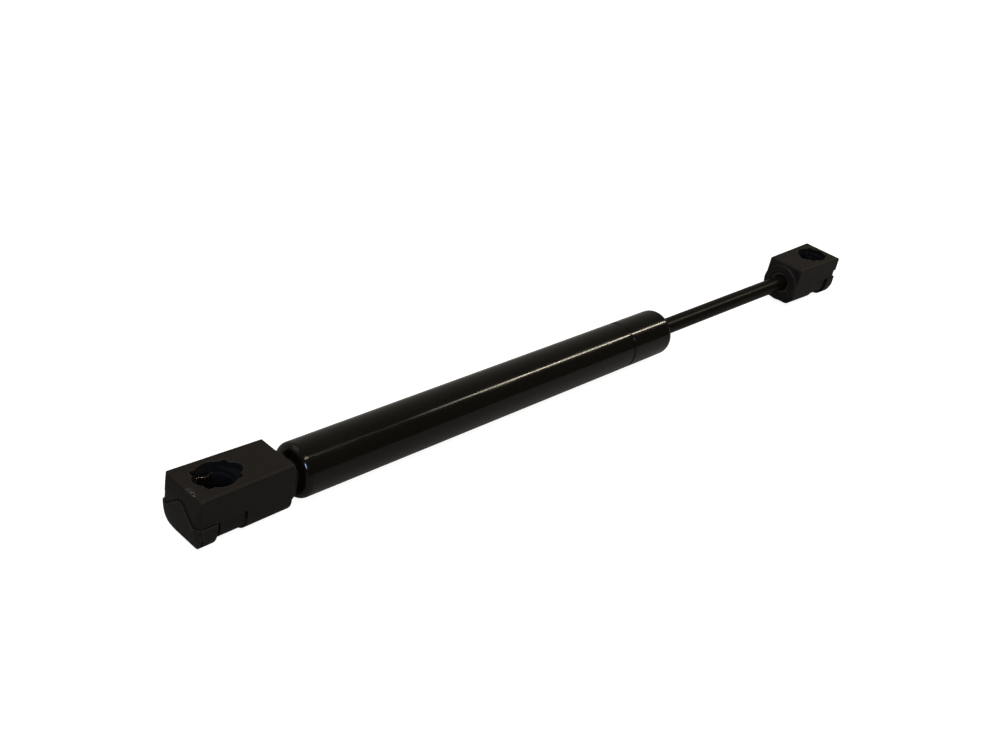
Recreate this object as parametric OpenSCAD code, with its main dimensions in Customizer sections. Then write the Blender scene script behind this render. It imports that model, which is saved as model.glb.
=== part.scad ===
// Gas strut stay: a sealed pressure tube with a sliding piston rod and a
// quick-release ball socket screwed onto each end.
// Origin: centre of the ball in the tube-side socket. +X runs along the
// strut to the rod end and +Z points out of the socket mouths.
// Stored fully extended, which is how a gas strut rests.

/* [Strut] */
// Outside diameter of the pressure tube
tube_diameter = 22; // [22:0.1:22.4]
// Wall thickness of the pressure tube
tube_wall = 1.25; // [1.2:0.01:1.3]
// Length of the pressure tube over its rolled ends
tube_length = 224.4; // [190:0.1:320]
// Diameter of the piston rod
rod_diameter = 8; // [7.6:0.1:8]
// Bare rod between the tube and the rod socket when extended
exposed_rod = 114.5; // [60:0.1:160]
// Distance from the rolled groove to the tube's rod end
groove_setback = 30.5; // [30.5:0.1:34]

/* [Ball sockets] */
// Diameter of the ball that the sockets take
ball_diameter = 13; // [12.8:0.1:13]
// Radius of the round mouth in the flat top
mouth_radius = 7.7; // [7.6:0.05:7.9]
// Length of a socket body without its collar
socket_length = 40; // [40:0.5:44]
// Ball centre to the top edge of a socket's end face
end_setback = 13.3; // [13.3:0.1:13.6]
// How far the end face bows out past its top edge
end_bulge = 1.0; // [0.9:0.05:1.1]
// Half width of a socket body at its outer end
half_width = 11.2; // [11.2:0.05:11.4]
// Angle at which each side closes in towards the collar
side_taper = 1.55; // [1.3:0.05:1.7]
// Ball centre to the flat top and to the underside
half_height = 11.6; // [11.6:0.05:11.8]
// Radius of the two long rounded lower edges
belly_radius = 7.9; // [7.5:0.1:8.1]

/* [Part shown] */
// Single sub-part to draw, or all of them

/* [Hidden] */

$fn = 96;
eps = 0.01;
fit = 0.05;

black_paint = [0.07, 0.07, 0.06];
black_plastic = [0.14, 0.12, 0.11];
blued_steel = [0.12, 0.12, 0.15];
plain_steel = [0.55, 0.55, 0.56];
sintered = [0.38, 0.37, 0.35];
black_rubber = [0.05, 0.05, 0.05];
pale_plastic = [0.75, 0.72, 0.62];
brass_like = [0.70, 0.56, 0.30];

// strut stations along X
tube_r = tube_diameter / 2;
bore_r = tube_r - tube_wall;
rod_r = rod_diameter / 2;
collar_thickness = 1.8;
socket_face_x = socket_length - end_setback;
collar_face_x = socket_face_x + collar_thickness;
neck_gap = 4.1;
tube_start_x = collar_face_x + neck_gap;
tube_end_x = tube_start_x + tube_length;
groove_x = tube_end_x - groove_setback;
rod_ball_x = tube_end_x + exposed_rod + collar_face_x;

// rolled tube ends and groove
roll_r = 3.4;
foot_roll_r = 3.0;
lip_hole_r = 5.6;
groove_depth = 0.5;
groove_tool_r = 1.3;
bead_tool_r = 1.4;
bead_height = 0.5;

// closed-end plug and its stud
plug_length = 12;
plug_boss_r = 5.5;
plug_boss_out = 1.2;
stud_r = rod_r - 0.05;
stud_reach_x = 14;
stud_chamfer = 0.8;
o_ring_r = 1.05;

// guide pack between the groove and the rolled rod end
pack_start_x = groove_x + 1.5;
support_thickness = 1.5;
seal_length = 6.4;
guide_length = 14.5;
pack_r = bore_r - fit;
guide_clearance = 0.04;
pack_gap = 0.1;

// piston group, stored against the groove's inner bead
piston_r = bore_r - 0.15;
piston_face_x = groove_x - 1.3;
washer_thickness = 1.2;
washer_r = 8.4;
piston_length = 7;
tenon_r = 2.5;
valve_thickness = 0.5;
valve_r = 7.2;
rivet_length = 1.7;
rivet_r = 3.7;
ring_width = 3;
ring_floor_r = 8;

// socket interior
ball_r = ball_diameter / 2;
seat_r = ball_r + 0.15;
seat_top_z = 7.1;
pocket_depth = 2.6;
mouth_flare = 0.25;
pocket_half_x = 7.6;
pocket_half_y = 6.0;
slot_end_x = 10.5;
slot_out_x = 9.5;
slot_end_r = 3.6;
insert_start_x = 12.2;
insert_r = 6.2;
insert_recess = 0.6;
collar_r = 9.9;
pocket_corner = 1.2;

// release saddle
saddle_leg_x = -6.0;
saddle_gap = 0.3;
plate_back_x = 2.0 - end_setback;
plate_proud = 0.6;
end_reach = end_setback + end_bulge;
end_arc_r = 30;
end_arc_z = 2.5;
end_flat = 0.06;
core_inset = 2.4;
leg_proud = 0.5;
arch_top_z = 5.6;
arch_crown_r = 3;
arch_flank_angle = 41;
arch_foot_z = -1;
window_end_x = 6.9;
window_depth = 0.7;
groove_inset = 1.9;
leg_groove_end_x = -4.3;
window_groove_x = 6.2;
window_groove_z = 4.2;

// retaining spring
strip = 0.8;
leg_y = 6.6;
pad_y = 5.7;
pad_half_x = 1;
pad_slope_x = 1.6;
leg_low_z = 3.2;
leg_top_z = 6.9;
bow_low_z = -3.2;
bow_top_z = -0.8;
riser_x = -7.5;
riser_width = 2;
leg_tip_x = 8.2;
release_travel = 4.5;
bow_x = -end_setback + 0.4;
channel_gap = 0.2;

// a solid of revolution about +X; the profile is drawn as (x along, r up)
module about_x() {
    rotate([0, 90, 0])
        rotate_extrude()
            rotate(90)
                mirror([0, 1])
                    children();
}

// profile of a bar from x = 0 with both outer corners rounded
module rounded_bar(length, radius, corner) {
    square([length, radius - corner]);
    translate([corner, 0])
        square([length - 2 * corner, radius]);
    translate([corner, radius - corner])
        circle(corner);
    translate([length - corner, radius - corner])
        circle(corner);
}

// the tube's own profile: a tight roll at its foot, a fuller one at the
// rod end
module tube_profile(length, radius, foot, far) {
    square([length - far, radius - foot]);
    square([length, radius - far]);
    translate([foot, 0])
        square([length - foot - far, radius]);
    translate([foot, radius - foot])
        circle(foot);
    translate([length - far, radius - far])
        circle(far);
}

// rectangle profile between two stations
module band(x0, x1, r0, r1) {
    translate([x0, r0])
        square([x1 - x0, r1 - r0]);
}

// one rounded side of a socket section, open towards the other side;
// drawn as (y, z)
module side_section(half, bottom, top, low_r, top_r) {
    translate([-3 * half, -bottom])
        square([4 * half - low_r, top + bottom - top_r]);
    translate([-3 * half, -bottom + low_r])
        square([4 * half, top + bottom - low_r - top_r]);
    translate([-3 * half, 0])
        square([4 * half - top_r, top]);
    translate([half - low_r, -bottom + low_r])
        circle(low_r);
    translate([half - top_r, top - top_r])
        circle(top_r);
}

// that side as a bar along X whose face leans in by the taper angle,
// turning about the socket's outer end
module tapered_side(half, bottom, top, low_r, top_r) {
    translate([-end_setback, half, 0])
        rotate([0, 0, -side_taper])
            translate([-30, -half, 0])
                rotate([90, 0, 90])
                    linear_extrude(120)
                        side_section(half, bottom, top, low_r, top_r);
}

module tapered_bar(half, bottom, top, low_r, top_r) {
    intersection() {
        tapered_side(half, bottom, top, low_r, top_r);
        mirror([0, 1, 0])
            tapered_side(half, bottom, top, low_r, top_r);
    }
}

// outline seen from the side, drawn as (x, z), with rounded ends
module long_outline(x0, x1, bottom, top, top_r0, top_r1,
                    low_r0, low_r1) {
    difference() {
        translate([x0, -bottom])
            square([x1 - x0, top + bottom]);
        translate([x0 - eps, top - top_r0])
            square([top_r0 + eps, top_r0 + eps]);
        translate([x1 - top_r1, top - top_r1])
            square([top_r1 + eps, top_r1 + eps]);
        translate([x0 - eps, -bottom - eps])
            square([low_r0 + eps, low_r0 + eps]);
        translate([x1 - low_r1, -bottom - eps])
            square([low_r1 + eps, low_r1 + eps]);
    }
    translate([x0 + top_r0, top - top_r0])
        circle(top_r0);
    translate([x1 - top_r1, top - top_r1])
        circle(top_r1);
    translate([x0 + low_r0, -bottom + low_r0])
        circle(low_r0);
    translate([x1 - low_r1, -bottom + low_r1])
        circle(low_r1);
}

module across_y() {
    translate([0, 30, 0])
        rotate([90, 0, 0])
            linear_extrude(60)
                children();
}

// plan outline with rounded corners, drawn as (x, y)
module plan_outline(x0, x1, half, r0, r1) {
    translate([x0 + r0, -half])
        square([x1 - x0 - r0 - r1, 2 * half]);
    translate([x0, -half + r0])
        square([r0 + eps, 2 * (half - r0)]);
    translate([x1 - r1 - eps, -half + r1])
        square([r1 + eps, 2 * (half - r1)]);
    for (s = [-1, 1]) {
        translate([x0 + r0, s * (half - r0)])
            circle(r0);
        translate([x1 - r1, s * (half - r1)])
            circle(r1);
    }
}

// bowed outer end: everything behind one large cylinder across Y
module end_bow(reach) {
    translate([end_arc_r - reach - end_flat, 30, end_arc_z])
        rotate([90, 0, 0])
            cylinder(h = 60, r = end_arc_r);
}

module through_z() {
    translate([0, 0, -30])
        linear_extrude(60)
            children();
}

// outer skin of a socket body
module socket_skin() {
    intersection() {
        tapered_bar(half_width, half_height, half_height, belly_radius, 1.3);
        across_y()
            long_outline(-end_reach, socket_face_x, half_height,
                         half_height, 3, 1.3, 5.2, 3.6);
        end_bow(end_reach);
        through_z()
            plan_outline(-end_reach, socket_face_x, half_width + 0.3,
                         3.2, 2.2);
    }
}

// the slimmer core that the saddle wraps
module saddle_core(extra) {
    inset = core_inset - extra;
    tapered_bar(half_width - inset, half_height - inset, half_height,
                belly_radius - inset, 0.5);
}

// arch in the end face that the saddle's plate fills, drawn as (y, z):
// a round crown on two straight flanks
module arch_outline(grow) {
    crown_r = arch_crown_r + grow;
    crown_z = arch_top_z - arch_crown_r;
    flank_y = crown_r * sin(arch_flank_angle);
    flank_z = crown_z + crown_r * cos(arch_flank_angle);
    foot_y = flank_y + (flank_z - arch_foot_z) / tan(arch_flank_angle);
    translate([0, crown_z])
        circle(crown_r);
    polygon([[-foot_y, -20], [-foot_y, arch_foot_z],
             [-flank_y, flank_z], [flank_y, flank_z],
             [foot_y, arch_foot_z], [foot_y, -20]]);
}

module arch_block(x0, x1, grow) {
    translate([x0, 0, 0])
        rotate([90, 0, 90])
            linear_extrude(x1 - x0)
                arch_outline(grow);
}

module leg_bar(x0, x1, z0, z1, grow) {
    for (s = [-1, 1])
        translate([x0, s * (leg_y + strip / 2) - strip / 2 - grow,
                   z0 - grow])
            cube([x1 - x0, strip + 2 * grow, z1 - z0 + 2 * grow]);
}

// everything taken out of the housing for the saddle and the spring
module saddle_room() {
    plate_room_x = plate_back_x + saddle_gap;
    difference() {
        translate([-40, -30, -30])
            cube([40 + saddle_leg_x, 60, 30]);
        intersection() {
            saddle_core(0);
            translate([plate_room_x, -30, -30])
                cube([40, 60, 60]);
        }
    }
    arch_block(-40, plate_room_x, saddle_gap);
    riser_end_x = riser_x + riser_width + channel_gap;
    riser_out_x = riser_x - release_travel - channel_gap;
    leg_bar(-30, riser_end_x, bow_low_z, bow_top_z, channel_gap);
    leg_bar(riser_out_x, riser_end_x, bow_low_z, leg_top_z, channel_gap);
    leg_bar(riser_out_x, leg_tip_x + channel_gap, leg_low_z, leg_top_z,
            channel_gap);
    // room for the pads to travel
    pad_reach_x = pad_half_x + pad_slope_x + channel_gap;
    for (s = [0, 1])
        mirror([0, s, 0])
            translate([-pad_reach_x - release_travel,
                       pad_y - channel_gap, leg_low_z - channel_gap])
                cube([2 * pad_reach_x + release_travel, leg_y - pad_y,
                      leg_top_z - leg_low_z + 2 * channel_gap]);
    // thumbnail notch beside the saddle's corner
    translate([-end_reach - 1, half_width - 1.8, -eps])
        cube([end_bulge + 3.4, 5, 4.2]);
}

// mouth, pockets and ball seat
module ball_room() {
    sphere(seat_r);
    cylinder(h = seat_top_z, r = seat_r);
    floor_z = half_height - pocket_depth;
    throat_r = mouth_radius - mouth_flare;
    translate([0, 0, seat_top_z])
        cylinder(h = floor_z - seat_top_z + eps, r = throat_r);
    translate([0, 0, floor_z])
        cylinder(h = pocket_depth, r1 = throat_r, r2 = mouth_radius);
    translate([0, 0, half_height - eps])
        cylinder(h = 5, r = mouth_radius);
    translate([0, 0, floor_z])
        linear_extrude(10)
            plan_outline(-pocket_half_x, pocket_half_x, pocket_half_y,
                         pocket_corner, pocket_corner);
    for (x = [slot_end_r - slot_out_x, slot_end_x - slot_end_r])
        translate([x, 0, floor_z])
            cylinder(h = 10, r = slot_end_r);
    translate([slot_end_r - slot_out_x, -slot_end_r, floor_z])
        cube([slot_out_x + slot_end_x - 2 * slot_end_r, 2 * slot_end_r,
              10]);
}

// cut down to a given depth below the skin, between two stations
module skin_cut(x0, x1, low_z, depth) {
    difference() {
        translate([x0, -30, -low_z])
            cube([x1 - x0, 60, low_z]);
        tapered_bar(half_width - depth, half_height - depth, half_height,
                    belly_radius - depth, 1);
    }
}

// shallow band round the sides and belly, beyond the saddle's legs, with
// a deeper groove at each end
module leg_band() {
    skin_cut(saddle_leg_x - 1, window_end_x, 30, window_depth);
    skin_cut(saddle_leg_x - 1, leg_groove_end_x, 30, groove_inset);
    skin_cut(window_groove_x, window_end_x, window_groove_z,
             groove_inset);
}

module socket_housing() {
    difference() {
        union() {
            socket_skin();
            translate([socket_face_x - 1, 0, 0])
                about_x()
                    rounded_bar(collar_thickness + 1, collar_r, 0.4);
        }
        ball_room();
        saddle_room();
        leg_band();
        translate([insert_start_x, 0, 0])
            rotate([0, 90, 0])
                cylinder(h = 40, r = insert_r + fit);
    }
}

module socket_insert() {
    groove_from = 4;
    groove_to = 8;
    length = collar_face_x - insert_recess - insert_start_x;
    mouth_chamfer = 0.8;
    translate([insert_start_x, 0, 0])
        about_x()
            difference() {
                rounded_bar(length, insert_r, 0.5);
                translate([-1, 0])
                    square([length + 2, rod_r]);
                band(groove_from, groove_to, insert_r - 0.7,
                     insert_r + 1);
                polygon([[length - mouth_chamfer, rod_r - eps],
                         [length + eps, rod_r - eps],
                         [length + eps, rod_r + mouth_chamfer]]);
            }
}

// the saddle's bowed outer end, with its lower corners rounded off
module saddle_end(reach) {
    round_r = 22.7;
    round_x = 21.0 - reach;
    intersection() {
        end_bow(reach);
        translate([round_x, 0, 0])
            sphere(round_r);
    }
}

// the saddle: plate over the end face, legs along both sides and a
// wrap under the belly
module socket_saddle() {
    reach = end_reach + plate_proud;
    x_out = -reach;
    x_plate = plate_back_x;
    x_leg = saddle_leg_x - saddle_gap;
    slit_x = -end_setback + 1.0;
    slit_width = 0.7;
    slit_top_z = -5.2;
    slit_low_z = -8.6;
    lug = leg_proud + 0.35;
    difference() {
        union() {
            // plate with its arch
            intersection() {
                union() {
                    arch_block(-30, x_plate, 0);
                    translate([-40, -30, -30 - saddle_gap])
                        cube([40 + x_plate, 60, 30]);
                }
                tapered_bar(half_width + 0.2, half_height + 0.2,
                            half_height, belly_radius + 0.2, 1.3);
                through_z()
                    plan_outline(x_out, 20, half_width + 0.3, 2.8, 1);
                saddle_end(reach);
                across_y()
                    long_outline(x_out, 20, half_height + 0.2, 12, 1.2,
                                 1.2, 5.4, 1);
            }
            // legs and wrap
            intersection() {
                difference() {
                    tapered_bar(half_width + leg_proud,
                                half_height + lug, half_height,
                                belly_radius + lug, 1);
                    saddle_core(saddle_gap);
                    translate([-40, -30, -saddle_gap])
                        cube([80, 60, 60]);
                }
                across_y()
                    long_outline(slit_x + 0.1, x_leg, half_height + lug,
                                 half_height, 1, 1, 2.5, 2.4);
                saddle_end(reach);
                through_z()
                    plan_outline(slit_x - 5, x_leg, half_width + 2,
                                 1.2, 2.2);
            }
        }
        // relief between the plate's band and the legs
        difference() {
            translate([slit_x, -30, slit_low_z])
                cube([slit_width, 60, slit_top_z - slit_low_z]);
            tapered_bar(half_width - 0.8, half_height - 0.8, half_height,
                        belly_radius - 0.8, 1);
        }
        // pocket for the spring's bow and the roots of its legs
        spring_bow(0.02);
    }
}

// one raised leg of the spring, drawn as (x, y): a strip bent inwards
// to a pad beside the top of the ball
module leg_plan() {
    fold = 0.2;
    outer_y = leg_y + strip;
    polygon([[riser_x, leg_y],
             [-pad_half_x - pad_slope_x, leg_y],
             [-pad_half_x, pad_y],
             [pad_half_x, pad_y],
             [pad_half_x + pad_slope_x, leg_y],
             [leg_tip_x, leg_y],
             [leg_tip_x, outer_y],
             [pad_half_x + pad_slope_x - fold, outer_y],
             [pad_half_x - fold, pad_y + strip],
             [-pad_half_x + fold, pad_y + strip],
             [-pad_half_x - pad_slope_x + fold, outer_y],
             [riser_x, outer_y]]);
}

// the part of the spring that lies in the saddle: its bow and the roots
// of its legs
module spring_bow(grow) {
    leg_bar(bow_x - grow, riser_x + riser_width, bow_low_z, bow_top_z,
            grow);
    translate([bow_x - grow, -leg_y - strip / 2, bow_low_z - grow])
        cube([strip + 2 * grow, 2 * leg_y + strip,
              bow_top_z - bow_low_z + 2 * grow]);
}

// U of steel strip whose pads stop the ball from lifting out until the
// saddle draws them clear
module socket_spring() {
    spring_bow(0);
    leg_bar(riser_x, riser_x + riser_width, bow_low_z, leg_top_z, 0);
    for (s = [0, 1])
        mirror([0, s, 0])
            translate([0, 0, leg_low_z])
                linear_extrude(leg_top_z - leg_low_z)
                    leg_plan();
}

// puts a socket part on the rod end, turned to face the other way
module at_rod_end() {
    translate([rod_ball_x, 0, 0])
        rotate([0, 0, 180])
            children();
}

module pressure_tube() {
    color(black_paint)
        translate([tube_start_x, 0, 0])
            about_x()
                difference() {
                    union() {
                        difference() {
                            tube_profile(tube_length, tube_r,
                                         foot_roll_r, roll_r);
                            translate([tube_wall, 0])
                                tube_profile(tube_length - 2 * tube_wall,
                                             bore_r,
                                             foot_roll_r - tube_wall,
                                             roll_r - tube_wall);
                        }
                        // inner bead under the rolled groove
                        intersection() {
                            translate([tube_length - groove_setback,
                                       bore_r - bead_height + bead_tool_r])
                                circle(bead_tool_r);
                            square([tube_length, tube_r - 0.3]);
                        }
                    }
                    translate([tube_length - groove_setback,
                               tube_r - groove_depth + groove_tool_r])
                        circle(groove_tool_r);
                    translate([-1, 0])
                        square([tube_length + 2, lip_hole_r]);
                }
}

module end_plug() {
    seat = tube_wall + fit;
    color(plain_steel)
        about_x()
            difference() {
                union() {
                    translate([tube_start_x + seat, 0])
                        rounded_bar(plug_length, bore_r - fit,
                                    foot_roll_r - tube_wall + 0.1);
                    band(tube_start_x - plug_boss_out,
                         tube_start_x + seat + 1, 0, plug_boss_r);
                    band(stud_reach_x + stud_chamfer, tube_start_x, 0,
                         stud_r);
                    band(stud_reach_x, stud_reach_x + stud_chamfer + 1, 0,
                         stud_r - stud_chamfer);
                }
                band(tube_start_x + seat + 5, tube_start_x + seat + 7.4,
                     bore_r - 1.95, bore_r + 1);
            }
}

module plug_o_ring() {
    color(black_rubber)
        translate([tube_start_x + tube_wall + fit + 6.2, 0, 0])
            about_x()
                translate([0, bore_r - o_ring_r + 0.15])
                    intersection() {
                        circle(o_ring_r);
                        square([4, 2 * (o_ring_r - 0.18)], center = true);
                    }
}

module support_washer() {
    color(plain_steel)
        translate([pack_start_x, 0, 0])
            about_x()
                band(0, support_thickness, rod_r + 0.6, pack_r);
}

seal_start_x = pack_start_x + support_thickness + pack_gap;
guide_start_x = seal_start_x + seal_length + pack_gap;
wiper_start_x = guide_start_x + guide_length + pack_gap;
wiper_length = tube_end_x - tube_wall - fit - wiper_start_x;

module rod_seal() {
    color(black_rubber)
        translate([seal_start_x, 0, 0])
            about_x()
                difference() {
                    band(0, seal_length, rod_r + 0.02, pack_r);
                    // lip spaces that the gas pressure spreads
                    band(-1, 3.2, rod_r + 1.3, rod_r + 3.1);
                    band(2.6, seal_length - 1.2, 0, rod_r + 0.4);
                    band(2.6, seal_length - 1.4, pack_r - 0.5,
                         pack_r + 1);
                }
}

module guide_bush() {
    color(brass_like)
        translate([guide_start_x, 0, 0])
            about_x()
                difference() {
                    band(0, guide_length, rod_r + guide_clearance,
                         pack_r);
                    band(guide_length - 4, guide_length + 1, 6.5, 8.6);
                    band(3, 5.4, pack_r - 1.95, pack_r + 1);
                    band(-1, 0.6, 0, rod_r + 0.6);
                }
}

module guide_o_ring() {
    color(black_rubber)
        translate([guide_start_x + 4.2, 0, 0])
            about_x()
                translate([0, pack_r - o_ring_r + 0.1])
                    intersection() {
                        circle(o_ring_r);
                        square([4, 2 * (o_ring_r - 0.12)], center = true);
                    }
}

module wiper_disc() {
    color(black_plastic)
        translate([wiper_start_x, 0, 0])
            about_x()
                difference() {
                    union() {
                        rounded_bar(wiper_length, pack_r,
                                    roll_r - tube_wall + 0.1);
                        band(0, wiper_length + tube_wall, 0,
                             lip_hole_r - 0.1);
                    }
                    translate([-1, 0])
                        square([20, rod_r + 0.06]);
                    band(-1, wiper_length - 1.4, 0, rod_r + 0.7);
                }
}

rod_shoulder_x = piston_face_x;
rod_tip_x = rod_ball_x - stud_reach_x;
valve_face_x = piston_face_x - washer_thickness - piston_length;

module piston_rod() {
    rivet_x = valve_face_x - valve_thickness - 2 * fit;
    color(black_paint)
        about_x()
            difference() {
                union() {
                    band(rod_shoulder_x, rod_ball_x - collar_face_x, 0,
                         rod_r);
                    band(rod_shoulder_x, rod_tip_x - stud_chamfer, 0,
                         stud_r);
                    band(rod_tip_x - stud_chamfer - 1, rod_tip_x, 0,
                         stud_r - stud_chamfer);
                    band(rivet_x - rivet_length, rod_shoulder_x + 1, 0,
                         tenon_r);
                    // riveted head
                    intersection() {
                        translate([rivet_x + 1.6, 0])
                            circle(rivet_r + 0.2);
                        band(rivet_x - rivet_length, rivet_x, 0,
                             rivet_r);
                    }
                }
                translate([0, -40])
                    square([rod_ball_x, 40]);
            }
}

module piston_washer() {
    color(plain_steel)
        about_x()
            band(piston_face_x - washer_thickness + fit,
                 piston_face_x - fit, tenon_r + fit, washer_r);
}

module piston_body() {
    passage_r = 0.9;
    passage_ring_r = 5.4;
    x1 = piston_face_x - washer_thickness;
    x0 = x1 - piston_length;
    ring_x = x0 + (piston_length - ring_width) / 2;
    color(sintered)
        difference() {
            about_x()
                difference() {
                    translate([x0 + fit, 0])
                        rounded_bar(piston_length - fit, piston_r, 0.4);
                    translate([x0 - 1, 0])
                        square([piston_length + 2, tenon_r + fit]);
                    band(ring_x, ring_x + ring_width, ring_floor_r,
                         piston_r + 1);
                }
            for (a = [0, 90, 180, 270])
                rotate([a, 0, 0])
                    translate([x0 - 1, 0, passage_ring_r])
                        rotate([0, 90, 0])
                            cylinder(h = piston_length + 2,
                                     r = passage_r);
        }
}

module piston_ring() {
    x0 = piston_face_x - washer_thickness
         - (piston_length + ring_width) / 2;
    color(pale_plastic)
        about_x()
            band(x0 + 0.05, x0 + ring_width - 0.05, ring_floor_r + 0.06,
                 bore_r - 0.04);
}

module valve_disc() {
    color(blued_steel)
        about_x()
            band(valve_face_x - valve_thickness, valve_face_x,
                 tenon_r + fit, valve_r);
}

module tube_socket_housing() {
    color(black_plastic)
        socket_housing();
}

module tube_socket_insert() {
    color(plain_steel)
        socket_insert();
}

module tube_socket_saddle() {
    color(black_plastic)
        socket_saddle();
}

module tube_socket_spring() {
    color(blued_steel)
        socket_spring();
}

module rod_socket_housing() {
    color(black_plastic)
        at_rod_end()
            socket_housing();
}

module rod_socket_insert() {
    color(plain_steel)
        at_rod_end()
            socket_insert();
}

module rod_socket_saddle() {
    color(black_plastic)
        at_rod_end()
            socket_saddle();
}

module rod_socket_spring() {
    color(blued_steel)
        at_rod_end()
            socket_spring();
}

pressure_tube();
end_plug();
plug_o_ring();
support_washer();
rod_seal();
guide_bush();
guide_o_ring();
wiper_disc();
piston_rod();
piston_washer();
piston_body();
piston_ring();
valve_disc();
tube_socket_housing();
tube_socket_insert();
tube_socket_saddle();
tube_socket_spring();
rod_socket_housing();
rod_socket_insert();
rod_socket_saddle();
rod_socket_spring();
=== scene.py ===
import math

import bmesh
import bpy
from mathutils import Matrix, Vector


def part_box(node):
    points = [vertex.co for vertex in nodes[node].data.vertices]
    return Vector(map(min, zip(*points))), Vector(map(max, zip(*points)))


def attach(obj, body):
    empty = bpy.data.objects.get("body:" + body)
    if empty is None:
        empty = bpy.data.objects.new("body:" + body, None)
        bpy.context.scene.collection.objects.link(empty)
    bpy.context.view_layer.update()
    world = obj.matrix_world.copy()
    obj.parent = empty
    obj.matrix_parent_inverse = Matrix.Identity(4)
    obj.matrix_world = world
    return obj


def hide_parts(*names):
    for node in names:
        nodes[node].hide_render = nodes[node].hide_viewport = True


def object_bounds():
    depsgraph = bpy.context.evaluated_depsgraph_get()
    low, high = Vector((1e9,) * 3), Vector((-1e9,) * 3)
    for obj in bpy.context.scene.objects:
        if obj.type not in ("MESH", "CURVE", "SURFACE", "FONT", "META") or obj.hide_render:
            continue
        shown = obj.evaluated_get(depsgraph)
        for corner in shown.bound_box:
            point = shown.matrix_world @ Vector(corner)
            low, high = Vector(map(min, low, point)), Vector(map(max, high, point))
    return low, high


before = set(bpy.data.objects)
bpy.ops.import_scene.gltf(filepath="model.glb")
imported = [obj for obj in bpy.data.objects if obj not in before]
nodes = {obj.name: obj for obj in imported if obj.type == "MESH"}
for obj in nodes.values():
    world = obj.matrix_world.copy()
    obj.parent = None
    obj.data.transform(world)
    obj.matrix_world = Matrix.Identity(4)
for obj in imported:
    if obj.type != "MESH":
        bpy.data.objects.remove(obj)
cad_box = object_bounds()
scene = bpy.context.scene
scene.view_settings.view_transform = "Standard"
MM = 0.001
# centre of the ball in the rod-side socket; the tube-side one is the origin
ROD_BALL = 0.400
# the box round one socket's mouth, inside which the plastic is painted dark as shade: half its
# length and width, its bottom and top
MOUTH_X, MOUTH_Y, MOUTH_LOW, MOUTH_HIGH = 10.7 * MM, 8.5 * MM, -7.1 * MM, 11.475 * MM


# ---------------------------------------------------------------- materials

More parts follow.
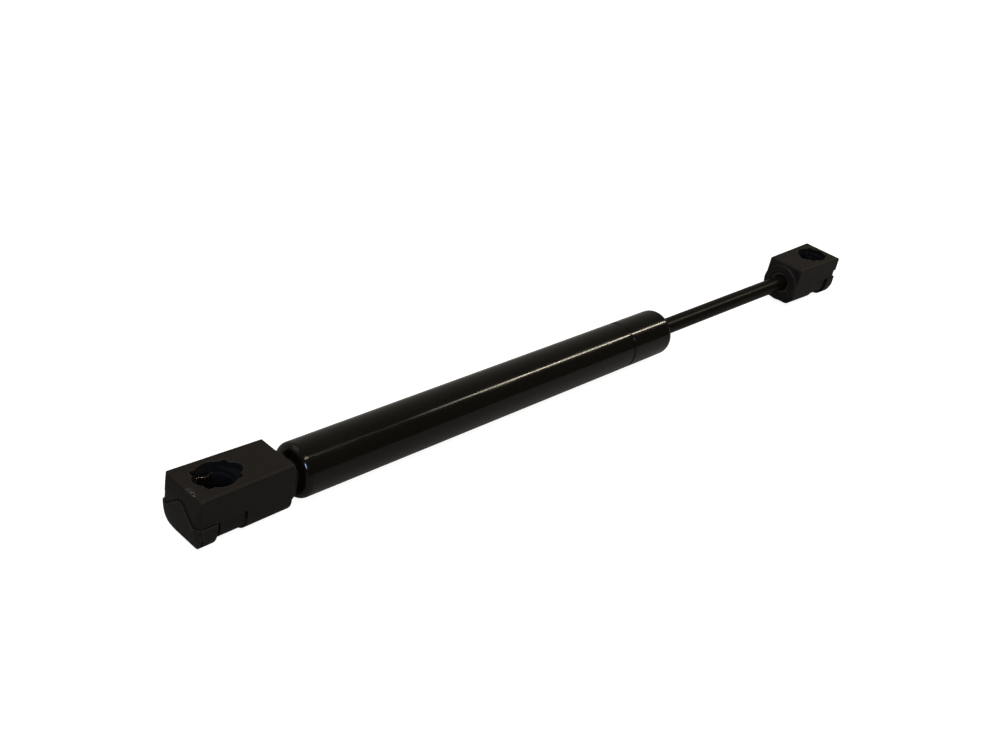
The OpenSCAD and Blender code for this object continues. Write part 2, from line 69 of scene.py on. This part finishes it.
class Shade:
    """A Principled material with short helpers for its procedural nodes."""

    def __init__(self, name, **sockets):
        self.mat = bpy.data.materials.new(name)
        self.mat.use_nodes = True
        self.tree = self.mat.node_tree
        self.bsdf = self.tree.nodes["Principled BSDF"]
        for socket, value in sockets.items():
            self.bsdf.inputs[socket.replace("_", " ")].default_value = value
        self.place = self.add("ShaderNodeTexCoord").outputs["Object"]
        self.normal = None

    def add(self, kind, **settings):
        node = self.tree.nodes.new(kind)
        for key, value in settings.items():
            setattr(node, key, value)
        return node

    def link(self, source, target):
        self.tree.links.new(source, target)

    def stretched(self, factors):
        node = self.add("ShaderNodeMapping")
        node.inputs["Scale"].default_value = factors
        self.link(self.place, node.inputs["Vector"])
        return node.outputs["Vector"]

    def noise(self, size_mm, detail=3.0, stretch=(1, 1, 1), rough=0.5):
        node = self.add("ShaderNodeTexNoise")
        node.inputs["Scale"].default_value = 1.0 / (size_mm * MM)
        node.inputs["Detail"].default_value = detail
        node.inputs["Roughness"].default_value = rough
        self.link(self.stretched(stretch), node.inputs["Vector"])
        return node.outputs["Fac"]

    def cells(self, size_mm, stretch=(1, 1, 1)):
        node = self.add("ShaderNodeTexVoronoi")
        node.inputs["Scale"].default_value = 1.0 / (size_mm * MM)
        self.link(self.stretched(stretch), node.inputs["Vector"])
        return node.outputs["Distance"]

    def axis(self, letter):
        node = self.add("ShaderNodeSeparateXYZ")
        self.link(self.place, node.inputs[0])
        return node.outputs[letter]

    def math(self, how, a, b=0.0, clamp=False):
        node = self.add("ShaderNodeMath", operation=how, use_clamp=clamp)
        for value, socket in ((a, node.inputs[0]), (b, node.inputs[1])):
            if isinstance(value, (int, float)):
                socket.default_value = value
            else:
                self.link(value, socket)
        return node.outputs[0]

    def ranged(self, value, low, high, to_low=0.0, to_high=1.0):
        node = self.add("ShaderNodeMapRange")
        self.link(value, node.inputs["Value"])
        node.inputs["From Min"].default_value = low
        node.inputs["From Max"].default_value = high
        node.inputs["To Min"].default_value = to_low
        node.inputs["To Max"].default_value = to_high
        return node.outputs["Result"]

    def mixed(self, factor, a, b):
        node = self.add("ShaderNodeMix", data_type="RGBA")
        self.link(factor, node.inputs["Factor"])
        for value, key in ((a, 6), (b, 7)):
            if isinstance(value, tuple):
                node.inputs[key].default_value = (*value, 1.0)
            else:
                self.link(value, node.inputs[key])
        return node.outputs[2]

    def colour(self, source):
        self.link(source, self.bsdf.inputs["Base Color"])

    def rough(self, source):
        self.link(source, self.bsdf.inputs["Roughness"])

    def bump(self, height, depth_mm, strength=1.0):
        node = self.add("ShaderNodeBump")
        node.inputs["Strength"].default_value = strength
        node.inputs["Distance"].default_value = depth_mm * MM
        self.link(height, node.inputs["Height"])
        if self.normal is not None:
            self.link(self.normal, node.inputs["Normal"])
        self.normal = node.outputs["Normal"]

    def soft_edges(self, radius_mm, samples=6):
        node = self.add("ShaderNodeBevel", samples=samples)
        node.inputs["Radius"].default_value = radius_mm * MM
        self.normal = node.outputs["Normal"]

    def rounded_edge_mask(self, radius_mm, low, high):
        """0 on flat faces, up to 1 where the rounded normal leaves the true one."""
        edge = self.add("ShaderNodeBevel", samples=6)
        edge.inputs["Radius"].default_value = radius_mm * MM
        face = self.add("ShaderNodeNewGeometry").outputs["Normal"]
        dot = self.add("ShaderNodeVectorMath", operation="DOT_PRODUCT")
        self.link(edge.outputs["Normal"], dot.inputs[0])
        self.link(face, dot.inputs[1])
        return self.ranged(dot.outputs["Value"], high, low)

    def done(self):
        if self.normal is not None:
            self.link(self.normal, self.bsdf.inputs["Normal"])
        return self.mat


def tube_paint():
    """Baked black gloss paint: slight orange peel, fine dust, light handling marks."""
    s = Shade("tube_paint", IOR=1.32)
    cloud = s.noise(38, 4, (0.35, 1, 1))
    tint = s.mixed(cloud, (0.0030, 0.0026, 0.0018), (0.0052, 0.0045, 0.0033))
    dust = s.ranged(s.cells(1.9), 0.035, 0.0)
    dust = s.math("MULTIPLY", dust, s.ranged(s.noise(11, 2), 0.5, 0.62), clamp=True)
    s.colour(s.mixed(dust, tint, (0.035, 0.032, 0.028)))
    marks = s.ranged(s.noise(0.5, 2, (0.02, 1, 1)), 0.60, 0.72)
    haze = s.ranged(s.noise(16, 4), 0.3, 0.75, 0.10, 0.17)
    s.rough(s.math("ADD", haze, s.math("MULTIPLY", marks, 0.05)))
    s.bump(s.noise(1.7, 2), 0.0035, 0.45)
    s.bump(s.noise(9, 2), 0.02, 0.25)
    s.bump(dust, 0.01, 0.5)
    return s.done()


def rod_finish():
    """Black nitrided rod, polished round its axis, with faint lengthwise wipe marks."""
    s = Shade("rod_finish", IOR=1.16)
    rings = s.noise(0.30, 3, (1, 0.02, 0.02))
    wipes = s.noise(0.6, 2, (0.02, 1, 1))
    s.colour(s.mixed(s.noise(22, 4), (0.0028, 0.0020, 0.0013), (0.0054, 0.0042, 0.0028)))
    grain = s.math("ADD", s.math("MULTIPLY", rings, 0.12), s.math("MULTIPLY", wipes, 0.10))
    s.rough(s.math("ADD", grain, 0.20))
    s.bump(rings, 0.0025, 0.30)
    s.bump(wipes, 0.0025, 0.20)
    return s.done()


def moulded(name, dark, light, cloud_mm):
    """Glass-filled nylon: spark-eroded grain, flow clouds; edges painted lighter as wear and as
    highlight, mouths painted dark as shade, a scuffed strip with painted glints.
    """
    s = Shade(name, IOR=1.30)
    s.soft_edges(0.45)
    clouds = s.noise(cloud_mm, 4)
    fibres = s.ranged(s.noise(0.16, 2, (0.22, 1, 1)), 0.56, 0.70)
    edge_wear_and_sheen = s.rounded_edge_mask(0.42, 0.90, 0.995)
    patchy_wear_and_sheen = s.math("MULTIPLY", edge_wear_and_sheen, s.ranged(s.noise(0.9, 4), 0.38, 0.66), clamp=True)
    base = s.mixed(clouds, dark, light)
    base = s.mixed(s.math("MULTIPLY", fibres, 0.35), base, tuple(1.8 * c for c in light))
    # painted highlight: the rounded edges are painted lighter, patches of them more so; partly
    # edge wear, partly a highlight along them
    base = s.mixed(s.math("MULTIPLY", edge_wear_and_sheen, 0.5), base, tuple(5.0 * c for c in light))
    base = s.mixed(patchy_wear_and_sheen, base, tuple(6.0 * c for c in light))
    # painted shade: the mouths' walls are painted near black for the shade inside them, and made
    # rougher
    away = s.math("MINIMUM", s.math("ABSOLUTE", s.axis("X")),
                  s.math("ABSOLUTE", s.math("SUBTRACT", s.axis("X"), ROD_BALL)))
    half = 0.1 * MM
    mouth_shade = s.ranged(away, MOUTH_X + half, MOUTH_X - half)
    mouth_shade = s.math("MULTIPLY", mouth_shade,
                    s.ranged(s.math("ABSOLUTE", s.axis("Y")), MOUTH_Y + half, MOUTH_Y - half))
    mouth_shade = s.math("MULTIPLY", mouth_shade,
                    s.ranged(s.axis("Z"), MOUTH_HIGH + 0.75 * half, MOUTH_HIGH - 0.75 * half))
    mouth_shade = s.math("MULTIPLY", mouth_shade,
                    s.ranged(s.axis("Z"), MOUTH_LOW - half, MOUTH_LOW + half), clamp=True)
    base = s.mixed(mouth_shade, base, (0.0012, 0.0010, 0.0006))
    # a lighter strip on the tube-side socket's upper outer edge, partly scuffing and partly
    # painted glints: each row is a limit, with where the strip starts and where it is full, in mm
    scuff_and_glints = s.ranged(s.noise(0.42, 3, (1.5, 0.8, 1)), 0.60, 0.66)
    for letter, none, full in (("X", -11.2, -11.8), ("X", -13.6, -13.0),
                               ("Y", -7.4, -6.4), ("Y", -0.8, -1.6), ("Z", 10.0, 10.6)):
        limit = s.ranged(s.axis(letter), none * MM, full * MM)
        scuff_and_glints = s.math("MULTIPLY", scuff_and_glints, limit, clamp=True)
    s.colour(s.mixed(scuff_and_glints, base, (0.26, 0.245, 0.22)))
    grain = s.noise(0.24, 3, rough=0.62)
    rough = s.math("SUBTRACT", s.ranged(grain, 0.3, 0.7, 0.50, 0.66),
                   s.math("ADD", s.math("MULTIPLY", patchy_wear_and_sheen, 0.14),
                          s.math("MULTIPLY", edge_wear_and_sheen, 0.16)))
    s.rough(s.math("ADD", rough, s.math("MULTIPLY", mouth_shade, 0.45), clamp=True))
    s.bump(grain, 0.020, 0.55)
    s.bump(s.cells(0.42), 0.012, 0.25)
    s.bump(s.noise(6, 2), 0.05, 0.15)
    return s.done()


def turned(name, tone, other, rough=(0.24, 0.42), metal=1.0):
    """Turned metal: rings round the X axis, plating clouds, a few handling marks."""
    s = Shade(name, Metallic=metal)
    rings = s.noise(0.22, 3, (1, 0.03, 0.03))
    s.colour(s.mixed(s.noise(5, 4), tone, other))
    s.rough(s.ranged(s.math("ADD", rings, s.noise(2.2, 3)), 0.7, 1.3, *rough))
    s.bump(rings, 0.010, 0.35)
    s.bump(s.noise(1.3, 4), 0.006, 0.2)
    return s.done()


def strip_steel():
    """Bright spring strip with rolled lines along it and a little oil."""
    s = Shade("spring_steel", Metallic=1.0)
    s.soft_edges(0.22)
    lines = s.noise(0.18, 2, (0.04, 1, 1))
    s.colour(s.mixed(s.noise(2.5, 3), (0.42, 0.38, 0.31), (0.62, 0.56, 0.46)))
    s.rough(s.ranged(lines, 0.3, 0.7, 0.16, 0.32))
    s.bump(lines, 0.004, 0.35)
    return s.done()


def rubber():
    """Black seal rubber with a fine matt grain."""
    s = Shade("seal_rubber", IOR=1.5)
    grain = s.noise(0.3, 3)
    s.colour(s.mixed(s.noise(3, 3), (0.010, 0.010, 0.010), (0.018, 0.017, 0.017)))
    s.rough(s.ranged(grain, 0.3, 0.7, 0.42, 0.60))
    s.bump(grain, 0.01, 0.4)
    return s.done()


def sinter():
    """Pressed and sintered iron with open pores."""
    s = Shade("sintered_iron", Metallic=0.85)
    pores = s.ranged(s.cells(0.32), 0.10, 0.30)
    s.colour(s.mixed(pores, (0.05, 0.048, 0.045), (0.34, 0.33, 0.31)))
    s.rough(s.ranged(s.noise(0.6, 3), 0.3, 0.7, 0.42, 0.62))
    s.bump(pores, 0.03, 0.6)
    return s.done()


def ptfe():
    """Waxy bronze-white glide ring, turned round the X axis."""
    s = Shade("glide_ptfe", IOR=1.35)
    s.colour(s.mixed(s.noise(4, 3), (0.62, 0.58, 0.50), (0.74, 0.70, 0.61)))
    s.rough(s.ranged(s.noise(0.5, 3), 0.3, 0.7, 0.36, 0.52))
    s.bump(s.noise(0.25, 2, (1, 0.05, 0.05)), 0.008, 0.4)
    return s.done()


housing_mat = moulded("socket_plastic", (0.0044, 0.0031, 0.0019), (0.0070, 0.0051, 0.0033), 7)
saddle_mat = moulded("saddle_plastic", (0.0048, 0.0035, 0.0022), (0.0076, 0.0057, 0.0038), 5)
paint_mat = tube_paint()
rod_mat = rod_finish()
steel_mat = turned("plated_steel", (0.46, 0.45, 0.42), (0.60, 0.59, 0.56))
brass_mat = turned("guide_brass", (0.70, 0.50, 0.20), (0.80, 0.61, 0.29))
dark_steel_mat = turned("plug_steel", (0.020, 0.018, 0.015), (0.032, 0.029, 0.025),
                        rough=(0.30, 0.45), metal=0.4)
spring_mat = strip_steel()
rubber_mat = rubber()
sinter_mat = sinter()
ptfe_mat = ptfe()

FINISH = {
    "pressure_tube": paint_mat, "piston_rod": rod_mat, "end_plug": dark_steel_mat,
    "plug_o_ring": rubber_mat, "guide_o_ring": rubber_mat, "rod_seal": rubber_mat,
    "wiper_disc": rubber_mat, "guide_bush": brass_mat, "support_washer": steel_mat,
    "piston_washer": steel_mat, "valve_disc": steel_mat, "piston_body": sinter_mat,
    "piston_ring": ptfe_mat,
}
for end in ("tube", "rod"):
    FINISH[end + "_socket_housing"] = housing_mat
    FINISH[end + "_socket_saddle"] = saddle_mat
    FINISH[end + "_socket_insert"] = dark_steel_mat
    FINISH[end + "_socket_spring"] = spring_mat
for name, material in FINISH.items():
    mesh = nodes[name].data
    mesh.materials.clear()
    mesh.materials.append(material)


# ------------------------------------------------------- stud with its thread

def mesh_piece(name, bm, material, body):
    mesh = bpy.data.meshes.new(name)
    bm.normal_update()
    bm.to_mesh(mesh)
    bm.free()
    obj = bpy.data.objects.new(name, mesh)
    scene.collection.objects.link(obj)
    mesh.materials.append(material)
    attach(obj, body)
    return obj


def threaded_bar(bm, x_start, x_end, crest, root, pitch, around=48):
    """A helical V thread about +X with run-out at its far end."""
    per_turn = 8
    steps = int((x_end - x_start) / pitch * per_turn)
    rings = []
    for i in range(steps + 1):
        x = x_start + (x_end - x_start) * i / steps
        ring = []
        for k in range(around):
            a = 2 * math.pi * k / around
            turn = (x - x_start) / pitch - k / around
            wave = abs((turn % 1.0) * 2 - 1)
            wave = min(1.0, max(0.0, (wave - 0.10) / 0.78))
            fade = min(1.0, (x_end - x) / (0.8 * pitch), (x - x_start + 0.2 * MM) / (0.8 * pitch))
            r = crest - (crest - root) * (1 - wave) * max(0.0, fade)
            ring.append(bm.verts.new((x, r * math.cos(a), r * math.sin(a))))
        rings.append(ring)
    for one, two in zip(rings, rings[1:]):
        for k in range(around):
            m = (k + 1) % around
            bm.faces.new((one[k], two[k], two[m], one[m]))
    bm.faces.new(rings[0])
    bm.faces.new(tuple(reversed(rings[-1])))


def lathe(bm, profile, around=96):
    """A closed solid about +X from (x, r) points; r = 0 closes an end."""
    rings = []
    for x, r in profile:
        if r == 0:
            rings.append([bm.verts.new((x, 0, 0))])
            continue
        rings.append([bm.verts.new((x, r * math.cos(2 * math.pi * k / around),
                                    r * math.sin(2 * math.pi * k / around)))
                      for k in range(around)])
    for one, two in zip(rings, rings[1:]):
        for k in range(around):
            m = (k + 1) % around
            if len(one) == 1:
                bm.faces.new((one[0], two[m], two[k]))
            elif len(two) == 1:
                bm.faces.new((one[k], one[m], two[0]))
            else:
                bm.faces.new((one[k], one[m], two[m], two[k]))


plug_low, plug_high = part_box("end_plug")
tube_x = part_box("pressure_tube")[0].x
# the plug's shoulder sits against the rolled end; its neck comes out through the hole
seat_x = tube_x + 1.28 * MM
neck_x = tube_x - 1.2 * MM
neck_r = 5.5 * MM
body_r = plug_high.y
shoulder_r = 2.2 * MM
groove_x, groove_end_x, groove_r = seat_x + 5 * MM, seat_x + 7.4 * MM, body_r - 1.9 * MM
chamfer = 1.2 * MM
CREST, ROOT, PITCH = 3.94 * MM, 3.32 * MM, 1.25 * MM
bm = bmesh.new()
threaded_bar(bm, plug_low.x + 0.1 * MM, neck_x + 0.6 * MM, CREST, ROOT, PITCH)
lathe(bm, [(neck_x, 0), (neck_x, neck_r - 0.25 * MM), (neck_x + 0.25 * MM, neck_r),
           (seat_x, neck_r), (seat_x, body_r - shoulder_r),
           (seat_x + 0.65 * MM, body_r - 0.64 * MM), (seat_x + shoulder_r, body_r),
           (groove_x, body_r), (groove_x, groove_r),
           (groove_end_x, groove_r), (groove_end_x, body_r),
           (plug_high.x - chamfer, body_r), (plug_high.x, body_r - chamfer),
           (plug_high.x, 0)])
threaded_plug = mesh_piece("threaded_plug", bm, dark_steel_mat, "barrel")
# the large turned faces stay flat shaded, the thread's small ones smooth
SMALL_FACE = 1.5e-7
for poly in threaded_plug.data.polygons:
    poly.use_smooth = poly.area < SMALL_FACE
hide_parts("end_plug")


# --------------------------------------------------------------------- stage

def pale_floor():
    """White to the camera; to everything else, a dim matt table."""
    s = Shade("pale_floor", Roughness=0.95, IOR=1.05)
    s.colour(s.mixed(s.noise(90, 4), (0.27, 0.265, 0.255), (0.31, 0.305, 0.295)))
    s.bump(s.noise(0.8, 3), 0.01, 0.1)
    s.done()
    glow = s.add("ShaderNodeEmission")
    glow.inputs["Strength"].default_value = 0.93
    both = s.add("ShaderNodeAddShader")
    s.link(s.bsdf.outputs[0], both.inputs[0])
    s.link(glow.outputs[0], both.inputs[1])
    pick = s.add("ShaderNodeMixShader")
    s.link(s.add("ShaderNodeLightPath").outputs["Is Camera Ray"], pick.inputs["Fac"])
    s.link(s.bsdf.outputs[0], pick.inputs[1])
    s.link(both.outputs[0], pick.inputs[2])
    s.link(pick.outputs[0], s.tree.nodes["Material Output"].inputs["Surface"])
    return s.mat


floor_z = cad_box[0].z - 0.05 * MM
floor_x, floor_half = 0.2, 6
bm = bmesh.new()
bm.faces.new([bm.verts.new((floor_x + i * floor_half, j * floor_half, floor_z))
              for i, j in ((-1, -1), (1, -1), (1, 1), (-1, 1))])
mesh = bpy.data.meshes.new("floor")
bm.to_mesh(mesh)
bm.free()
floor = bpy.data.objects.new("floor", mesh)
scene.collection.objects.link(floor)
mesh.materials.append(pale_floor())


def sky():
    """Pale to the eye; in reflections, a dim room with a lighter wall beyond the strut."""
    world = bpy.data.worlds.new("studio")
    scene.world = world
    world.use_nodes = True
    tree = world.node_tree
    tree.nodes.clear()
    place = tree.nodes.new("ShaderNodeTexCoord")
    split = tree.nodes.new("ShaderNodeSeparateXYZ")
    tree.links.new(place.outputs["Generated"], split.inputs[0])
    wall = tree.nodes.new("ShaderNodeMapRange")
    wall.inputs["From Min"].default_value = -0.25
    wall.inputs["From Max"].default_value = 0.85
    wall.inputs["To Min"].default_value = 0.05
    wall.inputs["To Max"].default_value = 0.30
    tree.links.new(split.outputs["Y"], wall.inputs["Value"])
    room = tree.nodes.new("ShaderNodeBackground")
    room.inputs["Color"].default_value = (1.0, 0.95, 0.86, 1)
    tree.links.new(wall.outputs["Result"], room.inputs["Strength"])
    seen = tree.nodes.new("ShaderNodeBackground")
    seen.inputs["Color"].default_value = (1, 1, 1, 1)
    seen.inputs["Strength"].default_value = 1.0
    path = tree.nodes.new("ShaderNodeLightPath")
    mix = tree.nodes.new("ShaderNodeMixShader")
    tree.links.new(path.outputs["Is Camera Ray"], mix.inputs["Fac"])
    tree.links.new(room.outputs[0], mix.inputs[1])
    tree.links.new(seen.outputs[0], mix.inputs[2])
    out = tree.nodes.new("ShaderNodeOutputWorld")
    tree.links.new(mix.outputs[0], out.inputs["Surface"])


sky()


def lamp(name, place, aim, size, watts, colour, reflects=True, diffuse=True):
    """A flat lamp at place, facing aim, with its long side along X; never seen itself."""
    data = bpy.data.lights.new(name, "AREA")
    data.shape = "RECTANGLE"
    data.size, data.size_y = size
    data.energy = watts
    data.color = colour
    obj = bpy.data.objects.new(name, data)
    scene.collection.objects.link(obj)
    obj.location = place
    along = (Vector(aim) - Vector(place)).normalized()
    side = Vector((1, 0, 0)) - along * along.x
    side.normalize()
    up = side.cross(along)
    obj.rotation_mode = "QUATERNION"
    obj.rotation_quaternion = Matrix((side, up, -along)).transposed().to_quaternion()
    obj.visible_glossy = reflects
    obj.visible_diffuse = diffuse
    obj.visible_camera = False


middle = (cad_box[0] + cad_box[1]) / 2
centre = (middle.x, 0, 0)
# broad soft light for the shapes, kept out of the reflections
lamp("soft_top", (middle.x, -0.3, 2.2), centre, (3.0, 3.0), 62, (1, 0.985, 0.96),
     reflects=False)
lamp("soft_front", (-1.2, -1.7, 1.3), centre, (1.8, 1.4), 14, (1, 0.97, 0.93),
     reflects=False)
# one long narrow ceiling lamp in lengths of different strength; it draws the bright line
# along the tube, which fades towards the foot and lights up again on the rolled shoulder
LINE_Y, LINE_Z = -0.53, 1.4
LINE_COLOUR = (1, 0.90, 0.72)
for name, start, end, wide, strength, diffuse in (
        ("line_main", 1.50, 2.40, 0.070, 165, True),
        ("line_rise", 1.42, 1.50, 0.070, 100, True),
        ("line_low", 1.29, 1.42, 0.070, 22, True),
        ("line_faint", 1.03, 1.29, 0.055, 1.2, True),
        ("line_end", -0.60, 0.95, 0.075, 75, False)):
    mid, long = (start + end) / 2, end - start
    lamp(name, (mid, LINE_Y, LINE_Z), (mid, 0, 0), (long, wide), strength * long * wide,
         LINE_COLOUR, diffuse=diffuse)
# small cool lamp, seen as one dot on the tube's rolled shoulder
lamp("window", (-1.454, -1.006, 0.895), (0.034, -0.008, 0.007), (0.44, 0.44), 26.0,
     (0.42, 0.58, 1.0), diffuse=False)
# catches the sockets' rounded end edges from the far left
lamp("edge_left", (-0.62, 1.1, 1.6), (0, 0, 0), (1.6, 1.2), 4.5, (1, 0.95, 0.86),
     diffuse=False)


# -------------------------------------------------------------------- camera

CAMERA_PLACE = (-0.2138, -0.2829, 0.2687)
CAMERA_RIGHT = (0.6860, -0.7064, 0.1741)
CAMERA_AHEAD = (0.6809, 0.5391, -0.4957)
LENS_MM, SENSOR_MM = 44.36, 36.0
cam = bpy.data.cameras.new("camera")
cam.lens = LENS_MM
cam.sensor_width = SENSOR_MM
cam.clip_start = 0.01
cam.clip_end = 50
cam_obj = bpy.data.objects.new("camera", cam)
scene.collection.objects.link(cam_obj)
right = Vector(CAMERA_RIGHT).normalized()
ahead = Vector(CAMERA_AHEAD).normalized()
up = right.cross(ahead).normalized()
turn = Matrix((right, up, -ahead)).transposed().to_4x4()
cam_obj.matrix_world = Matrix.Translation(CAMERA_PLACE) @ turn
scene.camera = cam_obj
